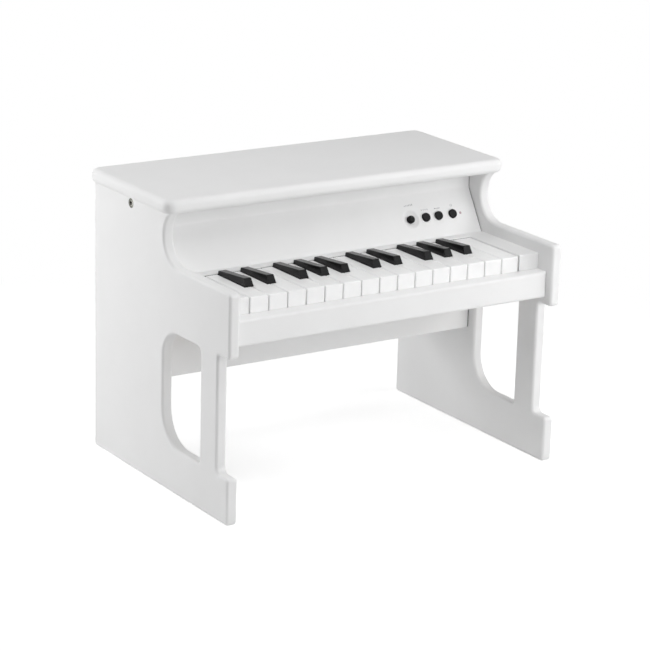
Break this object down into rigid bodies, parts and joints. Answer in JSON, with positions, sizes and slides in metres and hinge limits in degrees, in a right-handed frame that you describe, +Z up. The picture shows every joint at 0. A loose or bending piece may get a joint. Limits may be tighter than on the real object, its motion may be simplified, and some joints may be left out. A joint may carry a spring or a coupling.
{
  "type": "toy_piano",
  "caption": "Toy upright piano on panel legs: white cabinet, hinged short keyboard, sloped control panel with volume knob and push buttons, loudspeaker and sockets at the back.",
  "frame": {"origin": "on the floor, under the middle of the bounding box", "axes": "+X along the keyboard to the player's right, +Y from the player to the back, +Z up"},
  "size_m": [0.412, 0.277, 0.3032],
  "materials": {
    "white_lacquer": "smooth satin white lacquer over board",
    "white_hardboard": "thin hardboard painted white",
    "pine": "bare planed softwood",
    "white_moulding": "moulded, fine satin",
    "ivory_gloss": "polished white moulding",
    "ebony_satin": "black moulding with a soft sheen",
    "black_plastic": "black moulding",
    "red_lens": "clear red lens",
    "grey_plastic": "moulded, plain",
    "jack_plastic": "moulded, plain",
    "pot_metal": "pressed sheet",
    "circuit_green": "coated glass-fibre board",
    "silicone": "soft moulded",
    "felt": "pressed wool felt",
    "bright_steel": "plated",
    "dark_steel": "blackened",
    "speaker_black": "black enamel",
    "cone_paper": "pressed paper",
    "cell_wrap": "printed film, plain"
  },
  "bodies": {
    "cabinet": {"left_side_panel": "white_lacquer", "right_side_panel": "white_lacquer", "top_lid": "white_lacquer", "key_slip": "white_lacquer", "keybed": "white_lacquer", "knee_board": "white_lacquer", "bottom_board": "white_lacquer", "front_panel": "white_lacquer", "back_panel": "white_hardboard", "cabinet_cleats": "pine", "keyboard_bezel": "white_moulding", "power_lamp": "red_lens", "key_frame": "grey_plastic", "battery_box": "grey_plastic", "battery_cover": "grey_plastic", "headphone_jack": "jack_plastic", "dc_jack": "jack_plastic", "volume_pot": "pot_metal", "main_board": "circuit_green", "contact_board": "circuit_green", "contact_strip": "silicone", "button_pad": "silicone", "stop_felts": "felt", "key_pivot_rod": "bright_steel", "key_spring_comb": "bright_steel", "pan_screws": "bright_steel", "wood_screws": "bright_steel", "side_bolts": "dark_steel", "speaker_frame": "speaker_black", "speaker_cone": "cone_paper", "battery_cells": "cell_wrap"},
    "volume_knob": {"volume_knob": "black_plastic"},
    "tone_button": {"tone_button": "black_plastic"},
    "demo_button": {"demo_button": "black_plastic"},
    "power_button": {"power_button": "black_plastic"},
    "white_key_01": {"white_key_01": "ivory_gloss"},
    "white_key_02": {"white_key_02": "ivory_gloss"},
    "white_key_03": {"white_key_03": "ivory_gloss"},
    "white_key_04": {"white_key_04": "ivory_gloss"},
    "white_key_05": {"white_key_05": "ivory_gloss"},
    "white_key_06": {"white_key_06": "ivory_gloss"},
    "white_key_07": {"white_key_07": "ivory_gloss"},
    "white_key_08": {"white_key_08": "ivory_gloss"},
    "white_key_09": {"white_key_09": "ivory_gloss"},
    "white_key_10": {"white_key_10": "ivory_gloss"},
    "white_key_11": {"white_key_11": "ivory_gloss"},
    "white_key_12": {"white_key_12": "ivory_gloss"},
    "white_key_13": {"white_key_13": "ivory_gloss"},
    "white_key_14": {"white_key_14": "ivory_gloss"},
    "white_key_15": {"white_key_15": "ivory_gloss"},
    "black_key_01": {"black_key_01": "ebony_satin"},
    "black_key_02": {"black_key_02": "ebony_satin"},
    "black_key_03": {"black_key_03": "ebony_satin"},
    "black_key_04": {"black_key_04": "ebony_satin"},
    "black_key_05": {"black_key_05": "ebony_satin"},
    "black_key_06": {"black_key_06": "ebony_satin"},
    "black_key_07": {"black_key_07": "ebony_satin"},
    "black_key_08": {"black_key_08": "ebony_satin"},
    "black_key_09": {"black_key_09": "ebony_satin"},
    "black_key_10": {"black_key_10": "ebony_satin"}
  },
  "joints": [
    {"name": "white_key_01_press", "type": "hinge", "parent": "cabinet", "child": "white_key_01", "pos_m": [-0.15624, -0.0045, 0.2087], "axis": [1, 0, 0], "range_deg": [0, 3.1], "stiffness_Nm_per_rad": 0.3, "springref_deg": -8.59, "deforming": ["key_spring_comb", "contact_strip"]},
    {"name": "black_key_01_press", "type": "hinge", "parent": "cabinet", "child": "black_key_01", "pos_m": [-0.14322, -0.0045, 0.2087], "axis": [1, 0, 0], "range_deg": [0, 3.1], "stiffness_Nm_per_rad": 0.3, "springref_deg": -8.59, "deforming": ["key_spring_comb", "contact_strip"]},
    {"name": "white_key_02_press", "type": "hinge", "parent": "cabinet", "child": "white_key_02", "pos_m": [-0.1302, -0.0045, 0.2087], "axis": [1, 0, 0], "range_deg": [0, 3.1], "stiffness_Nm_per_rad": 0.3, "springref_deg": -8.59, "deforming": ["key_spring_comb", "contact_strip"]},
    {"name": "black_key_02_press", "type": "hinge", "parent": "cabinet", "child": "black_key_02", "pos_m": [-0.11718, -0.0045, 0.2087], "axis": [1, 0, 0], "range_deg": [0, 3.1], "stiffness_Nm_per_rad": 0.3, "springref_deg": -8.59, "deforming": ["key_spring_comb", "contact_strip"]},
    {"name": "white_key_03_press", "type": "hinge", "parent": "cabinet", "child": "white_key_03", "pos_m": [-0.10416, -0.0045, 0.2087], "axis": [1, 0, 0], "range_deg": [0, 3.1], "stiffness_Nm_per_rad": 0.3, "springref_deg": -8.59, "deforming": ["key_spring_comb", "contact_strip"]},
    {"name": "white_key_04_press", "type": "hinge", "parent": "cabinet", "child": "white_key_04", "pos_m": [-0.09145, -0.0045, 0.2087], "axis": [1, 0, 0], "range_deg": [0, 3.1], "stiffness_Nm_per_rad": 0.3, "springref_deg": -8.59, "deforming": ["key_spring_comb", "contact_strip"]},
    {"name": "black_key_03_press", "type": "hinge", "parent": "cabinet", "child": "black_key_03", "pos_m": [-0.07905, -0.0045, 0.2087], "axis": [1, 0, 0], "range_deg": [0, 3.1], "stiffness_Nm_per_rad": 0.3, "springref_deg": -8.59, "deforming": ["key_spring_comb", "contact_strip"]},
    {"name": "white_key_05_press", "type": "hinge", "parent": "cabinet", "child": "white_key_05", "pos_m": [-0.06665, -0.0045, 0.2087], "axis": [1, 0, 0], "range_deg": [0, 3.1], "stiffness_Nm_per_rad": 0.3, "springref_deg": -8.59, "deforming": ["key_spring_comb", "contact_strip"]},
    {"name": "black_key_04_press", "type": "hinge", "parent": "cabinet", "child": "black_key_04", "pos_m": [-0.05425, -0.0045, 0.2087], "axis": [1, 0, 0], "range_deg": [0, 3.1], "stiffness_Nm_per_rad": 0.3, "springref_deg": -8.59, "deforming": ["key_spring_comb", "contact_strip"]},
    {"name": "white_key_06_press", "type": "hinge", "parent": "cabinet", "child": "white_key_06", "pos_m": [-0.04185, -0.0045, 0.2087], "axis": [1, 0, 0], "range_deg": [0, 3.1], "stiffness_Nm_per_rad": 0.3, "springref_deg": -8.59, "deforming": ["key_spring_comb", "contact_strip"]},
    {"name": "black_key_05_press", "type": "hinge", "parent": "cabinet", "child": "black_key_05", "pos_m": [-0.02945, -0.0045, 0.2087], "axis": [1, 0, 0], "range_deg": [0, 3.1], "stiffness_Nm_per_rad": 0.3, "springref_deg": -8.59, "deforming": ["key_spring_comb", "contact_strip"]},
    {"name": "white_key_07_press", "type": "hinge", "parent": "cabinet", "child": "white_key_07", "pos_m": [-0.01705, -0.0045, 0.2087], "axis": [1, 0, 0], "range_deg": [0, 3.1], "stiffness_Nm_per_rad": 0.3, "springref_deg": -8.59, "deforming": ["key_spring_comb", "contact_strip"]},
    {"name": "white_key_08_press", "type": "hinge", "parent": "cabinet", "child": "white_key_08", "pos_m": [-0.00434, -0.0045, 0.2087], "axis": [1, 0, 0], "range_deg": [0, 3.1], "stiffness_Nm_per_rad": 0.3, "springref_deg": -8.59, "deforming": ["key_spring_comb", "contact_strip"]},
    {"name": "black_key_06_press", "type": "hinge", "parent": "cabinet", "child": "black_key_06", "pos_m": [0.00868, -0.0045, 0.2087], "axis": [1, 0, 0], "range_deg": [0, 3.1], "stiffness_Nm_per_rad": 0.3, "springref_deg": -8.59, "deforming": ["key_spring_comb", "contact_strip"]},
    {"name": "white_key_09_press", "type": "hinge", "parent": "cabinet", "child": "white_key_09", "pos_m": [0.0217, -0.0045, 0.2087], "axis": [1, 0, 0], "range_deg": [0, 3.1], "stiffness_Nm_per_rad": 0.3, "springref_deg": -8.59, "deforming": ["key_spring_comb", "contact_strip"]},
    {"name": "black_key_07_press", "type": "hinge", "parent": "cabinet", "child": "black_key_07", "pos_m": [0.03472, -0.0045, 0.2087], "axis": [1, 0, 0], "range_deg": [0, 3.1], "stiffness_Nm_per_rad": 0.3, "springref_deg": -8.59, "deforming": ["key_spring_comb", "contact_strip"]},
    {"name": "white_key_10_press", "type": "hinge", "parent": "cabinet", "child": "white_key_10", "pos_m": [0.04774, -0.0045, 0.2087], "axis": [1, 0, 0], "range_deg": [0, 3.1], "stiffness_Nm_per_rad": 0.3, "springref_deg": -8.59, "deforming": ["key_spring_comb", "contact_strip"]},
    {"name": "white_key_11_press", "type": "hinge", "parent": "cabinet", "child": "white_key_11", "pos_m": [0.06045, -0.0045, 0.2087], "axis": [1, 0, 0], "range_deg": [0, 3.1], "stiffness_Nm_per_rad": 0.3, "springref_deg": -8.59, "deforming": ["key_spring_comb", "contact_strip"]},
    {"name": "black_key_08_press", "type": "hinge", "parent": "cabinet", "child": "black_key_08", "pos_m": [0.07285, -0.0045, 0.2087], "axis": [1, 0, 0], "range_deg": [0, 3.1], "stiffness_Nm_per_rad": 0.3, "springref_deg": -8.59, "deforming": ["key_spring_comb", "contact_strip"]},
    {"name": "white_key_12_press", "type": "hinge", "parent": "cabinet", "child": "white_key_12", "pos_m": [0.08525, -0.0045, 0.2087], "axis": [1, 0, 0], "range_deg": [0, 3.1], "stiffness_Nm_per_rad": 0.3, "springref_deg": -8.59, "deforming": ["key_spring_comb", "contact_strip"]},
    {"name": "black_key_09_press", "type": "hinge", "parent": "cabinet", "child": "black_key_09", "pos_m": [0.09765, -0.0045, 0.2087], "axis": [1, 0, 0], "range_deg": [0, 3.1], "stiffness_Nm_per_rad": 0.3, "springref_deg": -8.59, "deforming": ["key_spring_comb", "contact_strip"]},
    {"name": "white_key_13_press", "type": "hinge", "parent": "cabinet", "child": "white_key_13", "pos_m": [0.11005, -0.0045, 0.2087], "axis": [1, 0, 0], "range_deg": [0, 3.1], "stiffness_Nm_per_rad": 0.3, "springref_deg": -8.59, "deforming": ["key_spring_comb", "contact_strip"]},
    {"name": "black_key_10_press", "type": "hinge", "parent": "cabinet", "child": "black_key_10", "pos_m": [0.12245, -0.0045, 0.2087], "axis": [1, 0, 0], "range_deg": [0, 3.1], "stiffness_Nm_per_rad": 0.3, "springref_deg": -8.59, "deforming": ["key_spring_comb", "contact_strip"]},
    {"name": "white_key_14_press", "type": "hinge", "parent": "cabinet", "child": "white_key_14", "pos_m": [0.13485, -0.0045, 0.2087], "axis": [1, 0, 0], "range_deg": [0, 3.1], "stiffness_Nm_per_rad": 0.3, "springref_deg": -8.59, "deforming": ["key_spring_comb", "contact_strip"]},
    {"name": "white_key_15_press", "type": "hinge", "parent": "cabinet", "child": "white_key_15", "pos_m": [0.1519, -0.0045, 0.2087], "axis": [1, 0, 0], "range_deg": [0, 3.1], "stiffness_Nm_per_rad": 0.3, "springref_deg": -8.59, "deforming": ["key_spring_comb", "contact_strip"]},
    {"name": "volume_turn", "type": "hinge", "parent": "cabinet", "child": "volume_knob", "pos_m": [0.10325, -0.00262, 0.24337], "axis": [0, -0.8554, 0.518], "range_deg": [-150, 150]},
    {"name": "tone_button_press", "type": "slide", "parent": "cabinet", "child": "tone_button", "axis": [0, 0.8554, -0.518], "range_m": [0, 0.00119], "stiffness_N_per_m": 200, "springref_m": -0.001, "deforming": ["button_pad"]},
    {"name": "demo_button_press", "type": "slide", "parent": "cabinet", "child": "demo_button", "axis": [0, 0.8554, -0.518], "range_m": [0, 0.00119], "stiffness_N_per_m": 200, "springref_m": -0.001, "deforming": ["button_pad"]},
    {"name": "power_button_press", "type": "slide", "parent": "cabinet", "child": "power_button", "axis": [0, 0.8554, -0.518], "range_m": [0, 0.00119], "stiffness_N_per_m": 200, "springref_m": -0.001, "deforming": ["button_pad"]}
  ]
}
